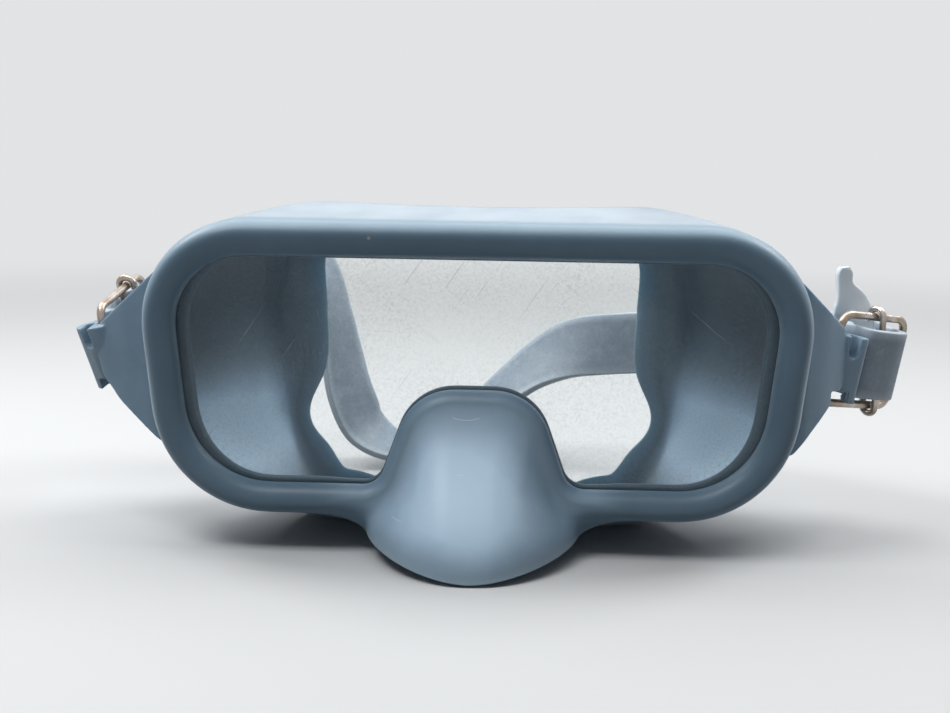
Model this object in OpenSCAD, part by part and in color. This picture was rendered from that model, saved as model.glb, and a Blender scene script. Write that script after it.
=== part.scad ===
// Smoke goggles: a one-piece moulded rubber mask body with a nose pocket and two ears,
// a flat lens held in a groove of the rim, a wire buckle with a loose crossbar at each ear,
// and a flat rubber head strap threaded through both buckles.
// Millimetres. +X is the viewer's right, the front faces -Y, +Z is up.
// The origin lies on the flat underside of the nose pocket, below the rim's parting line.

/* [Lens opening] */
// Width of the opening where its sides would meet the top line
opening_w = 157.6; // [150:0.2:166]
// How much narrower the opening is at the bottom than at the top
opening_taper = 12.4; // [8:0.2:18]
// Height of the opening's top edge above the ground
opening_top = 76.3; // [72:0.1:80]
// Height of the opening's bottom edge above the ground
opening_bottom = 17.2; // [15:0.1:20]
// Radius of the upper corners
upper_corner_r = 18; // [14:0.5:24]
// Radius of the lower corners
lower_corner_r = 22; // [16:0.5:26]

/* [Nose notch] */
// Width of the notch along the bottom edge
notch_foot_w = 49.2; // [44:0.2:54]
// Width of the notch along its top line
notch_top_w = 31; // [28:0.2:34]
// Height of the notch's top edge above the ground
notch_top = 42.7; // [40:0.1:46]
// Radius where the bottom edge turns up into the notch
notch_foot_r = 6; // [4:0.5:8]
// Radius of the notch's shoulders
notch_shoulder_r = 15; // [12:0.5:18]

/* [Rim] */
// Width of the rim bead, measured outward from the opening
bead_w = 8.5; // [7.5:0.1:10]
// How much wider the bead is along the top than along the sides
bead_w_top_gain = 0.6; // [0:0.1:1.2]
// How far the bead stands in front of the parting line
bead_front = 5.4; // [4.5:0.1:6.5]
// Depth of the rim behind the parting line
rim_back = 6.4; // [5.6:0.1:8]
// How far the rear lip reaches in past the front lip along the top, the bottom and the notch
rear_lip_in = 0.8; // [0.3:0.1:1.5]
// How much further the rear lip reaches in along the sides
rear_lip_side_gain = 1.8; // [0:0.1:2.5]

/* [Lens] */
// Thickness of the lens
lens_t = 2.6; // [2:0.1:3.2]
// How far the lens reaches into the groove
lens_bite = 2.7; // [2:0.1:3]
// Clearance between the lens and the groove
lens_gap = 0.15; // [0.05:0.05:0.3]

/* [Skirt] */
// Wall of the skirt
skirt_wall = 2.4; // [1.8:0.1:3]
// Width of the skirt at its rear edge
skirt_w = 124; // [116:1:132]
// Height of the skirt's top at its rear edge
skirt_top = 87; // [84:0.5:90]
// Depth of the skirt at the middle of the forehead
skirt_depth_mid = 25; // [20:0.5:32]
// How much deeper the skirt is at the temples
skirt_depth_gain = 27; // [18:0.5:34]
// Width of the in-turned sealing flange at the forehead
flange_w = 12.5; // [9:0.5:15]
// How much wider the flange is at the temples
flange_side_gain = 4; // [0:0.5:6]
// How much narrower the flange is at the cheeks
flange_cheek_cut = 7.5; // [0:0.5:8]
// Height of the cheeks above the ground
cheek_z = 31; // [26:1:36]
// Thickness of the flange at its free edge
flange_tip_t = 1.2; // [0.8:0.1:1.8]

/* [Nose pocket] */
// Half the width of the pocket's lower edge where it leaves the rim
pocket_half_w = 27.5; // [25:0.5:29]
// How far the pocket reaches forward of the parting line
pocket_reach = 30; // [25:0.5:34]
// Height of the pocket's lower edge beside the rim
pocket_side_h = 4.8; // [3.5:0.1:6]
// Height of the pocket's lower edge at the front
pocket_front_h = 0.6; // [0.4:0.1:1.5]
// How full the lower part of the pocket's front is, as a share of its length
pocket_bulge = 0.28; // [0.2:0.01:0.35]

/* [Ears] */
// Distance of the right wire tunnel from the middle plane
right_ear_x = 95; // [93:0.5:97]
// Depth of the right wire tunnel behind the parting line
right_ear_y = 22; // [20:0.5:24]
// Distance of the left wire tunnel from the middle plane, where the rubber is bent back less
left_ear_x = 98; // [96:0.5:100]
// Depth of the left wire tunnel behind the parting line
left_ear_y = 17.6; // [16:0.2:19]
// Height of the middle of the lugs
ear_z = 47.2; // [45.6:0.1:49]
// Height of the lug at the end of each ear
lug_h = 18.2; // [16:0.2:18.2]
// Radius of the lug
lug_r = 4.2; // [3.6:0.1:4.6]
// How far the lip of the lug reaches past the tunnel
lip_reach = 7.9; // [6.5:0.1:8.4]
// Lean of the right tunnel, top outward
right_lean = 10; // [5:0.5:13]
// Lean of the left tunnel, top outward
left_lean = 15; // [10:0.5:17]
// Tilt of the left tunnel, top forward
left_tilt = 12; // [0:0.5:13]
// How much further back the left lip is bent than the right one
left_bend = 20; // [0:1:24]
// Thickness of the ear's web
ear_web = 3.2; // [2.6:0.1:4]
// Height on the rim where the ear's upper edge leaves it
ear_root_top = 72; // [68:0.5:75]
// Height on the rim where the ear's lower edge leaves it
ear_root_bottom = 26; // [22:0.5:32]

/* [Buckles] */
// Diameter of the frame wire
frame_wire_d = 2.2; // [1.8:0.1:2.4]
// Distance between the frame's inner and outer bars
frame_len = 25.2; // [24:0.2:27]
// Distance between the frame's two rails
frame_h = 24.6; // [24.6:0.1:25.6]
// Radius of the frame's corners at the wire's middle
frame_corner_r = 3.2; // [2.4:0.1:4]
// Diameter of the crossbar wire
bar_wire_d = 1.8; // [1.5:0.1:2]
// Distance of the right crossbar from the outer bar
right_bar_back = 9.4; // [9:0.1:11.4]
// Distance of the left crossbar from the outer bar
left_bar_back = 8; // [7.8:0.1:11.4]
// Clearance between the crossbar's curls and the rails
curl_gap = 0.3; // [0.25:0.05:0.4]
// Sweep of each curl
curl_sweep = 215; // [190:5:230]
// Clearance all round the wire in the ear's tunnel
tunnel_gap = 0.1; // [0.05:0.01:0.1]
// How far up its tunnel the right buckle lies
right_lift = 1.9; // [0:0.1:1.9]
// How far up its tunnel the left buckle lies
left_lift = 0.4; // [0.4:0.1:1.6]
// Tilt of the right crossbar on its rails, top toward the ear
right_bar_tilt = 12; // [0:0.5:13]
// Swing of the right buckle as it lies, from straight out toward the rear
right_swing = 36; // [25:1:45]
// Swing of the left buckle as it lies, from straight out toward the rear
left_swing = 105; // [95:1:110]

/* [Head strap] */
// Width of the strap
strap_w = 19; // [17:0.5:19.4]
// Thickness of the strap
strap_t = 2.4; // [1.8:0.1:2.6]
// Width of the tongue at each end of the strap
tongue_w = 4.8; // [4:0.2:6]
// How far the strap's loop reaches behind the ears
loop_depth = 76; // [70:1:80]

/* [Hidden] */

rubber = [0.42, 0.52, 0.60];
strap_rubber = [0.62, 0.68, 0.74];
wire_metal = [0.58, 0.52, 0.46];
clear_panel = [0.80, 0.86, 0.90, 0.35];

function mix(a, b, t) = a + (b - a) * t;
function clamp01(t) = min(1, max(0, t));
function ease(t) = let (c = clamp01(t)) c * c * (3 - 2 * c);
function unit(v) = v / norm(v);
function bezier(a, b, c, d, t) =
    a * pow(1 - t, 3) + b * 3 * t * pow(1 - t, 2) + c * 3 * t * t * (1 - t) + d * pow(t, 3);

// Lens outline, as corners of the right half in the plane of the lens: x, z and radius
half_top_w = opening_w / 2;
corner_upper = [half_top_w, opening_top];
corner_lower = [half_top_w - opening_taper / 2, opening_bottom];
corner_foot = [notch_foot_w / 2, opening_bottom];
corner_shoulder = [notch_top_w / 2, notch_top];

// A point of the outline is its x and z, then the x and z of the direction into the rubber
function left_of(d) = [-d[1], d[0]];
half_turn = 180;
full_turn = 360;
function signed_turn(a, b) = let (t = atan2(b[1], b[0]) - atan2(a[1], a[0]))
    t > half_turn ? t - full_turn : (t < -half_turn ? t + full_turn : t);
function corner_arc(a, b, c, r, n) =
    let (
        way_in = unit(b - a),
        way_out = unit(c - b),
        turn = signed_turn(way_in, way_out),
        start = b - way_in * r * tan(abs(turn) / 2),
        side = turn < 0 ? 1 : -1,
        middle = start - left_of(way_in) * r * side,
        first = atan2(left_of(way_in)[1], left_of(way_in)[0])
    )
    [for (i = [0 : n])
        let (
            angle = first + turn * i / n,
            out = [cos(angle), sin(angle)],
            p = middle + out * r * side
        )
        [p[0], p[1], out[0], out[1]]];
function straight_run(a, b, n) =
    let (out = left_of(unit(b - a)))
    [for (i = [1 : n - 1]) let (p = mix(a, b, i / n)) [p[0], p[1], out[0], out[1]]];
function xz(p) = [p[0], p[1]];

middle_top = [0, opening_top];
middle_notch = [0, notch_top];
corner_steps = 8;
foot_steps = 5;
shoulder_steps = 6;
arc_upper = corner_arc(middle_top, corner_upper, corner_lower, upper_corner_r, corner_steps);
arc_lower = corner_arc(corner_upper, corner_lower, corner_foot, lower_corner_r, corner_steps);
arc_foot = corner_arc(corner_lower, corner_foot, corner_shoulder, notch_foot_r, foot_steps);
arc_shoulder = corner_arc(corner_foot, corner_shoulder, middle_notch, notch_shoulder_r, shoulder_steps);
half_outline = concat(
    [[0, opening_top, 0, 1]],
    straight_run(middle_top, xz(arc_upper[0]), 6),
    arc_upper,
    straight_run(xz(arc_upper[corner_steps]), xz(arc_lower[0]), 4),
    arc_lower,
    straight_run(xz(arc_lower[corner_steps]), xz(arc_foot[0]), 5),
    arc_foot,
    straight_run(xz(arc_foot[foot_steps]), xz(arc_shoulder[0]), 3),
    arc_shoulder,
    [[0, notch_top, 0, -1]]
);
half_n = len(half_outline);
stations_n = 2 * half_n - 2;
function station(i) =
    i < half_n ? half_outline[i]
    : let (p = half_outline[stations_n - i]) [-p[0], p[1], -p[2], p[3]];

// How far a station has left the rim for the nose pocket: 0 on the rim, 1 on the pocket
pocket_blend = 12;
foot_x = arc_foot[0][0];
function pocket_share(p) =
    p[1] > notch_top + 5 ? 0 : ease((foot_x + pocket_blend - abs(p[0])) / pocket_blend);

// Angle of a pocket station's lower end: 0 beside the rim, 90 at the front middle,
// shared out by the distance along the notch at the depth of the bead's crest
function bead_line(i) = let (p = half_outline[i]) [p[0] + p[2] * bead_w / 2, p[1] + p[3] * bead_w / 2];
pocket_first = half_n - foot_steps - shoulder_steps - 6;
function run_to(i) = i <= pocket_first ? 0 : run_to(i - 1) + norm(bead_line(i) - bead_line(i - 1));
notch_run = [for (i = [0 : half_n - 1]) run_to(i)];
function pocket_angle(i) =
    let (j = i < half_n ? i : stations_n - i) 90 * notch_run[j] / notch_run[half_n - 1];

function lift(p, y) = [p[0], y, p[1]];
function outward(p) = [p[2], 0, p[3]];
function side_of(p) = p[0] < 0 ? -1 : 1;

// Lower, front edge of the pocket, a sharp parting line in the moulding
function pocket_edge(p, a) = [
    side_of(p) * pocket_half_w * cos(a),
    -pocket_reach * pow(sin(a), 1.3),
    pocket_front_h + (pocket_side_h - pocket_front_h) * pow(cos(a), 1.3)
];
function bead_width(p) = bead_w + bead_w_top_gain * p[3];
function rim_edge(p) = lift(p, 0) + outward(p) * bead_width(p);
function parting_point(i) =
    let (p = station(i)) mix(rim_edge(p), pocket_edge(p, pocket_angle(i)), pocket_share(p));
function crest(p) =
    let (w = pocket_share(p))
    lift(p, -bead_front * (1 - 0.1 * w)) + outward(p) * bead_width(p) * mix(0.56, 0.42, w);

// Bead from its crest out to the parting line, running on down the pocket's front
bead_rings = 6;
function bead_ring(i, k) =
    let (
        p = station(i),
        w = pocket_share(p),
        a = pocket_angle(i),
        from = crest(p),
        to = parting_point(i),
        rim_1 = from + outward(p) * bead_width(p) * 0.30,
        rim_2 = to + [0, -bead_front * 0.55, 0],
        length = norm(to - from),
        pocket_1 = from + unit(outward(p) * 0.35 + [0, -0.25, -0.85]) * length * 0.3,
        pocket_2 = to + [0, -0.1 * sin(a), 1] * length * pocket_bulge
    )
    bezier(from, mix(rim_1, pocket_1, w), mix(rim_2, pocket_2, w), to, k / bead_rings);

// Rear edge of the skirt, shaped to a face: shallow at the middle, deep at the temples
skirt_half = skirt_w / 2;
rim_half = half_top_w + bead_w;
rim_low = opening_bottom - bead_w + bead_w_top_gain;
rim_high = opening_top + bead_w + bead_w_top_gain;
skirt_low = 0.4;
pocket_rear_half = 19;
function face_depth(x) = skirt_depth_mid + skirt_depth_gain * pow(min(1, abs(x) / skirt_half), 1.6);
function rear_xz(i) =
    let (
        p = station(i),
        e = rim_edge(p),
        w = pocket_share(p),
        a = pocket_angle(i),
        x_rim = (p[0] + p[2] * bead_width(p) * (1 - w)) * skirt_half / rim_half,
        z_rim = mix(skirt_low, skirt_top, (e[2] - rim_low) / (rim_high - rim_low)),
        x_pocket = side_of(p) * pocket_rear_half * (1 - a / 90)
    )
    [mix(x_rim, x_pocket, w), mix(z_rim, skirt_low, w)];
function rear_point(i) = let (r = rear_xz(i)) [r[0], face_depth(r[0]), r[1]];
function inward_dir(i) =
    let (p = station(i), w = pocket_share(p)) unit(mix(-outward(p), [0, 0, 1], w) + [0, 0, 0.001]);

// Skirt wall from the parting line back to its rear edge
wall_rings = 7;
function wall_ring(i, k) =
    let (
        p = station(i),
        w = pocket_share(p),
        from = parting_point(i),
        to = rear_point(i),
        depth = to[1] - from[1],
        first = from + [0, depth * 0.38, 0] + [0, 0, -4.5 * w],
        last = to - inward_dir(i) * 3 * (1 - w) + [0, -depth * 0.30, -2.5 * max(0, -p[3]) * (1 - w) - w],
        q = bezier(from, first, last, to, k / (wall_rings + 0.35))
    )
    [q[0], q[1], max(0, q[2])];

function outer_at(i, k) =
    k == 0 ? crest(station(i))
    : k <= bead_rings ? bead_ring(i, k)
    : k <= bead_rings + wall_rings ? wall_ring(i, k - bead_rings)
    : rear_point(i) + [0, 0.6, 0];
outer_n = bead_rings + wall_rings + 1;
outer = [for (i = [0 : stations_n - 1]) [for (k = [0 : outer_n]) outer_at(i, k)]];
function wrap(i) = (i + stations_n) % stations_n;
function outer_normal(i, k) =
    unit(cross(outer[wrap(i + 1)][k] - outer[wrap(i - 1)][k],
               outer[i][min(outer_n, k + 1)] - outer[i][k - 1]));

// Inner face: the back of the rim, then the outer face set in by the wall
function inner_ring(i, k) =
    let (
        p = station(i),
        w = ease(pocket_share(p) * 1.4 - 0.4),
        offset_in = outer[i][k] - outer_normal(i, k) * skirt_wall,
        rim_share = min(1, k / (bead_rings + 1)),
        behind_rim = lift(p, rim_back + 0.1 * k) + outward(p) * mix(4.2, bead_width(p) - skirt_wall - 0.6, rim_share),
        pushed_back = [offset_in[0], max(offset_in[1], rim_back + 0.12 * k), offset_in[2]]
    )
    mix(k <= bead_rings + 1 ? behind_rim : pushed_back, offset_in, w);

// Lips and groove, as distances outward from the opening and depths behind the parting line
groove_deep = lens_bite + lens_gap;
groove_front = 0;
groove_rear = lens_t + 2 * lens_gap;
front_lips = [[0, groove_front], [0, -1.9], [0.9, -3.7], [2.6, -4.9]];
rear_lips = [
    [3.6, rim_back],
    [1.0, rim_back - 0.2],
    [-1, rim_back - 1.8],
    [-1, groove_rear],
    [groove_deep, groove_rear],
    [groove_deep, groove_front]
];
function rear_lip(p) =
    rear_lip_in * (1 - 0.6 * pocket_share(p)) + rear_lip_side_gain * p[2] * p[2] * (1 - pocket_share(p));
function lip_point(p, q) = lift(p, q[1]) + outward(p) * (q[0] < 0 ? -rear_lip(p) : q[0]);

cheek_span = 9;
nose_span = 20;
flange_nose_cut = 2;
flange_nose_w = 6;
function flange_rings(i) =
    let (
        p = station(i),
        w = pocket_share(p),
        r = rear_point(i),
        in_dir = inward_dir(i),
        cheek = exp(-pow((p[1] - cheek_z) / cheek_span, 2)),
        beside_nose = max(0, -p[3]) * (1 - ease((abs(p[0]) - foot_x) / nose_span)),
        rim_reach = flange_w + flange_side_gain * abs(p[2]) - flange_cheek_cut * cheek - flange_nose_cut * beside_nose,
        reach = mix(rim_reach, flange_nose_w, w),
        tip = r + in_dir * reach + [0, -1.0, 0],
        half = r + in_dir * reach * 0.5 + [0, 1.3, 0]
    )
    [
        r + [0, 0.6, 0],
        half,
        tip,
        tip + [0, -flange_tip_t, 0],
        half + [0, -mix(flange_tip_t, skirt_wall, 0.6), 0]
    ];

function ring_points(i) =
    let (p = station(i))
    concat(
        [for (q = front_lips) lip_point(p, q)],
        [for (k = [0 : outer_n - 1]) outer[i][k]],
        flange_rings(i),
        [for (k = [outer_n - 1 : -1 : 1]) inner_ring(i, k)],
        [for (q = rear_lips) lip_point(p, q)]
    );

// A grid of points closed both ways
module closed_grid(rows) {
    n = len(rows);
    m = len(rows[0]);
    faces = [for (i = [0 : n - 1]) for (j = [0 : m - 1])
        let (a = i * m + j, b = i * m + (j + 1) % m, c = ((i + 1) % n) * m + (j + 1) % m, d = ((i + 1) % n) * m + j)
        for (f = [[a, b, c], [a, c, d]]) f];
    polyhedron(points = [for (row = rows) for (q = row) q], faces = faces, convexity = 10);
}

module mould() {
    closed_grid([for (i = [0 : stations_n - 1]) ring_points(i)]);
}

// The two ears, right then left. The rubber is bent differently on the two sides.
ear_x = [right_ear_x, left_ear_x];
ear_y = [right_ear_y, left_ear_y];
ear_lean = [right_lean, left_lean];
ear_tilt = [0, left_tilt];
ear_bend = [0, left_bend];
RIGHT = 0;
LEFT = 1;
module ear_frame(side) {
    translate([ear_x[side], ear_y[side], ear_z]) rotate([ear_tilt[side], ear_lean[side], 0]) children();
}

// Seen from above: a web that leaves the rim's side and sweeps back to the front of the lug
ear_root_x = rim_half - opening_taper / 4;
ear_root_y = 4.2;
ear_sunk = 6;
slab = 100;
function turned(v, a) = [v[0] * cos(a) - v[1] * sin(a), v[0] * sin(a) + v[1] * cos(a)];
function lug_spot(side, v) = [ear_x[side], ear_y[side]] + turned(v, ear_bend[side]);
module ear_web_plan(side) {
    root = [ear_root_x, ear_root_y];
    corner = lug_spot(side, [lug_r * 0.55, -lug_r - 0.2]);
    knee = mix(root, corner, 0.5) + [0.5, -0.6];
    behind = left_of(unit(corner - root)) * ear_web;
    polygon([
        [ear_root_x - ear_sunk, ear_root_y - 0.5],
        root,
        knee,
        corner,
        lug_spot(side, [lug_r * 0.55, -lug_r * 0.5]),
        lug_spot(side, [0, -lug_r * 0.2]),
        knee + behind,
        [ear_root_x - ear_web * 0.5, ear_root_y + ear_web * 1.2],
        [ear_root_x - ear_sunk, ear_root_y + ear_web * 0.5]
    ]);
}

// Seen from the front: the web's upper and lower edges, the outer end just past the lug's middle
web_top_reach = [3.8, 4.9];
web_top_rise = [8.9, 6.4];
web_low_reach = [1.6, -0.8, -3.6];
web_low_drop = [5.6, 8, 11.2];
module ear_web_front(side) {
    x = ear_x[side];
    polygon([
        [ear_root_x - ear_sunk, ear_root_top + 1.5],
        [ear_root_x - 2, ear_root_top],
        [x + web_top_reach[side], ear_z + web_top_rise[side]],
        for (i = [0 : 2]) [x + web_low_reach[i], ear_z - web_low_drop[i]],
        [ear_root_x - 2, ear_root_bottom],
        [ear_root_x - ear_sunk, ear_root_bottom + 0.5]
    ]);
}

round_steps = 40;
notch_w = 2.6;
notch_at = 4.0;
notch_depth = 5.9;
web_corner = 1.9;
front_corner = 0.7;
tunnel_r = frame_wire_d / 2 + tunnel_gap;
bend_room = frame_corner_r + frame_wire_d / 2 + 0.4;
lower_cut = frame_h / 2 - frame_corner_r - right_lift - 1.4;
module ear(side) {
    intersection() {
        linear_extrude(height = slab) ear_web_plan(side);
        translate([0, slab / 2, 0]) rotate([90, 0, 0]) linear_extrude(height = slab) ear_web_front(side);
    }
    ear_frame(side) rotate([0, 0, ear_bend[side]]) {
        translate([0, 0, -lug_h / 2]) cylinder(h = lug_h, r = lug_r, $fn = round_steps);
        translate([0, 0, -lug_h / 2]) linear_extrude(height = lug_h)
            polygon([
                [0, -lug_r],
                [lip_reach - 4.6, -lug_r],
                [lip_reach - 0.7, -lug_r + 1.6],
                [lip_reach, -lug_r + 2.9],
                [lip_reach - 0.7, -lug_r + 4.6],
                [2, lug_r - 1.2]
            ]);
    }
}

// Tunnel for the buckle's inner bar. Below, the wall is cut back where the wire bends away.
// A notch in the front wall stands beside the tunnel at each end.
module ear_cuts(side) {
    ear_frame(side) {
        translate([0, 0, -lug_h]) cylinder(h = 2 * lug_h, r = tunnel_r, $fn = round_steps);
        rotate([0, 0, ear_bend[side]]) {
            translate([0, 0, -lower_cut - lug_h]) {
                intersection() {
                    cylinder(h = lug_h, r = bend_room, $fn = round_steps);
                    translate([-web_corner, -tunnel_r, 0]) cube([4 * lug_r, 4 * lug_r, lug_h]);
                }
                translate([-front_corner, -2 * lug_r, 0])
                    cube([front_corner + notch_at + notch_w / 2, 2 * lug_r, lug_h]);
            }
            translate([notch_at, 0, lug_h / 2 - notch_depth + notch_w / 2])
                rotate([90, 0, 0]) cylinder(h = 2 * lug_r, d = notch_w, $fn = round_steps);
            translate([notch_at - notch_w / 2, -2 * lug_r, lug_h / 2 - notch_depth + notch_w / 2])
                cube([notch_w, 2 * lug_r, lug_h]);
        }
    }
}

module mask_body() {
    color(rubber) difference() {
        union() {
            mould();
            for (side = [RIGHT, LEFT]) mirror([side, 0, 0]) ear(side);
        }
        for (side = [RIGHT, LEFT]) mirror([side, 0, 0]) ear_cuts(side);
    }
}

module lens() {
    outline = [for (i = [0 : stations_n - 1])
        let (p = station(i)) [p[0] + p[2] * lens_bite, p[1] + p[3] * lens_bite]];
    color(clear_panel)
        translate([0, lens_gap + lens_t, 0]) rotate([90, 0, 0])
            linear_extrude(height = lens_t) polygon(outline);
}

wire_sides = 16;
bend_steps = 24;
// Buckle frame: inner bar on the local Z axis, outer bar at frame_len along local X
module wire_run(from, to, d) {
    way = to - from;
    translate(from)
        rotate([0, acos(way[2] / norm(way)), atan2(way[1], way[0])])
            cylinder(h = norm(way), d = d, $fn = wire_sides);
}

module wire_corner() {
    rotate([90, 0, 0]) rotate_extrude(angle = 90, $fn = bend_steps)
        translate([frame_corner_r, 0]) circle(d = frame_wire_d, $fn = wire_sides);
}

module buckle_frame() {
    r = frame_corner_r;
    h = frame_h / 2;
    for (x = [0, frame_len]) wire_run([x, 0, r - h], [x, 0, h - r], frame_wire_d);
    for (z = [-h, h]) wire_run([r, 0, z], [frame_len - r, 0, z], frame_wire_d);
    translate([frame_len - r, 0, h - r]) wire_corner();
    translate([r, 0, h - r]) rotate([0, -90, 0]) wire_corner();
    translate([r, 0, r - h]) rotate([0, 180, 0]) wire_corner();
    translate([frame_len - r, 0, r - h]) rotate([0, 90, 0]) wire_corner();
}

// Crossbar: a straight wire in front of the rails with both ends curled over them
curl_r = frame_wire_d / 2 + curl_gap + bar_wire_d / 2;
bar_at = [frame_len - right_bar_back, frame_len - left_bar_back];
module buckle_bar(side, tilt) {
    h = frame_h / 2 / cos(tilt);
    translate([bar_at[side], 0, 0]) rotate([0, -tilt, 0]) {
        wire_run([0, -curl_r, -h], [0, -curl_r, h], bar_wire_d);
        for (s = [0, 1]) mirror([0, 0, s])
            translate([0, 0, h]) rotate([90, 0, 90]) rotate([0, 0, 180])
                mirror([0, 1, 0]) rotate_extrude(angle = curl_sweep, $fn = bend_steps)
                    translate([curl_r, 0]) circle(d = bar_wire_d, $fn = wire_sides);
    }
}

swing = [right_swing, left_swing];
buckle_lift = [right_lift, left_lift];
module buckle_place(side) {
    mirror([side, 0, 0]) ear_frame(side)
        translate([0, 0, buckle_lift[side]]) rotate([0, 0, swing[side]]) children();
}

module right_buckle_frame() {
    color(wire_metal) buckle_place(RIGHT) buckle_frame();
}

module right_buckle_bar() {
    color(wire_metal) buckle_place(RIGHT) buckle_bar(RIGHT, right_bar_tilt);
}

module left_buckle_frame() {
    color(wire_metal) buckle_place(LEFT) buckle_frame();
}

module left_buckle_bar() {
    color(wire_metal) buckle_place(LEFT) buckle_bar(LEFT, 0);
}

// Head strap. Each step of its route is a point, a direction across the strap, and a width.
function turn_x(v, a) = [v[0], v[1] * cos(a) - v[2] * sin(a), v[1] * sin(a) + v[2] * cos(a)];
function turn_y(v, a) = [v[0] * cos(a) + v[2] * sin(a), v[1], -v[0] * sin(a) + v[2] * cos(a)];
function turn_z(v, a) = [v[0] * cos(a) - v[1] * sin(a), v[0] * sin(a) + v[1] * cos(a), v[2]];
function mirrored(v, side) = side == LEFT ? [-v[0], v[1], v[2]] : v;
function ear_way(v, side) = mirrored(turn_y(turn_x(v, ear_tilt[side]), ear_lean[side]), side);
function buckle_way(v, side) = ear_way(turn_z(v, swing[side]), side);
function local_step(v, across, width, side) = [
    buckle_way(v + [0, 0, buckle_lift[side]], side) + mirrored([ear_x[side], ear_y[side], ear_z], side),
    buckle_way(across, side),
    width
];

upright = [0, 0, 1];
// Through the window beside the ear, over the crossbar, back through the outer window
pass_in = lug_r + strap_t / 2 + 1.3;
pass_out = frame_len - frame_wire_d / 2 - strap_t / 2 - 1.0;
pass_over = -(curl_r + bar_wire_d / 2 + strap_t / 2 + 0.7);
function threading(side) = [
    for (v = [
        [pass_in, 4.0, 0],
        [pass_in, 1.0, 0],
        [pass_in + 0.5, -2.6, 0],
        [pass_in + 2.2, pass_over + 0.7, 0],
        [bar_at[side] - 1, pass_over, 0],
        [bar_at[side] + 2.4, pass_over + 0.2, 0],
        [pass_out - 2.0, pass_over + 1.5, 0],
        [pass_out - 0.4, -1.2, 0],
        [pass_out, 3.5, 0]
    ]) local_step(v, upright, strap_w, side)
];
// The free run of the strap is laid out round a mask with these sizes, and scaled to the sizes that it has
laid_x = 95;
laid_z = 47.2;
laid_depth = 76;
laid_w = 19;
right_tail = [for (q = [
    [[5.0, 15, 24.8], [1, 0.2, 0], tongue_w * 0.6],
    [[5.1, 15, 23.2], [1, 0.2, 0], tongue_w * 0.9],
    [[5.4, 15, 19.8], [1, 0.2, 0.05], tongue_w],
    [[7.2, 15, 15.2], [0.95, 0.15, 0.35], strap_w * 0.5],
    [[8.5, 15, 10.2], [0.8, 0.1, 0.6], strap_w * 0.85],
    [[8.5, 15, 5.4], [0.5, 0.05, 0.85], strap_w],
    [[6.3, 12.2, 1.2], [0.18, 0, 0.98], strap_w]
]) [q[0] * strap_w / laid_w + [ear_x[RIGHT], ear_y[RIGHT], ear_z], q[1], q[2]]];
left_tail = [for (q = [
    [[38.0, 10.0, 0], tongue_w * 0.6],
    [[36.5, 10.2, 0], tongue_w],
    [[30.5, 10.6, 0], tongue_w * 1.2],
    [[24.5, 10.6, 0], strap_w * 0.8],
    [[17.0, 10.4, 0], strap_w],
    [[10.8, 9.6, 0], strap_w],
    [[pass_in + 0.5, 7.0, 0], strap_w]
]) local_step(q[0], upright, q[1], LEFT)];
head_loop = [for (q = [
    [[106, 23, 48.5], upright],
    [[96, 33, 47.5], upright],
    [[82, 42, 46], upright],
    [[66, 50, 44.5], upright],
    [[52, 57, 43], upright],
    [[39, 64, 41], [-0.05, 0.15, 1]],
    [[27, 68.5, 38.5], [-0.15, 0.5, 0.85]],
    [[17, 72, 33], [-0.3, 0.8, 0.5]],
    [[8, 74, 25.5], [-0.35, 0.88, 0.25]],
    [[-2, 75, 16], [-0.35, 0.92, 0.15]],
    [[-14, 73.5, 8], [-0.1, 0.98, 0.12]],
    [[-26, 69, 6], [0.3, 0.95, 0.1]],
    [[-36.5, 65, 12], [0.55, 0.83, 0]],
    [[-42, 63, 23], [0.6, 0.8, 0]],
    [[-45, 64, 36], [0.5, 0.87, 0]],
    [[-47.5, 66, 49], [0.35, 0.94, 0]],
    [[-51, 69, 60], [0.2, 0.95, 0.2]],
    [[-58, 70, 67], [0.05, 0.75, 0.65]],
    [[-65, 67, 67.5], [0, 0.35, 0.93]],
    [[-75, 58, 63.5], [0, 0.1, 1]],
    [[-82.5, 46, 58], upright],
    [[-87, 34, 53], [-0.15, -0.1, 1]]
]) [
    [q[0][0] * right_ear_x / laid_x, right_ear_y + q[0][1] * loop_depth / laid_depth, q[0][2] * ear_z / laid_z],
    q[1],
    strap_w
]];
function reversed(list) = [for (i = [len(list) - 1 : -1 : 0]) list[i]];
strap_route = concat(
    right_tail,
    threading(RIGHT),
    head_loop,
    reversed(threading(LEFT)),
    reversed(left_tail)
);

// Smooth curve through the route, with a few steps between each two points
strap_steps = 3;
function route(i, part) = strap_route[min(len(strap_route) - 1, max(0, i))][part];
function between(i, part, t) =
    let (a = route(i - 1, part), b = route(i, part), c = route(i + 1, part), d = route(i + 2, part))
    (2 * b + (c - a) * t + (2 * a - 5 * b + 4 * c - d) * t * t + (3 * b - a - 3 * c + d) * t * t * t) / 2;
strap_n = (len(strap_route) - 1) * strap_steps + 1;
function strap_at(j, part) = between(floor(j / strap_steps), part, (j % strap_steps) / strap_steps);
strap_middle = [for (j = [0 : strap_n - 1]) strap_at(j, 0)];
strap_across = [for (j = [0 : strap_n - 1]) strap_at(j, 1)];
strap_wide = [for (j = [0 : strap_n - 1]) strap_at(j, 2)];

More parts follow.
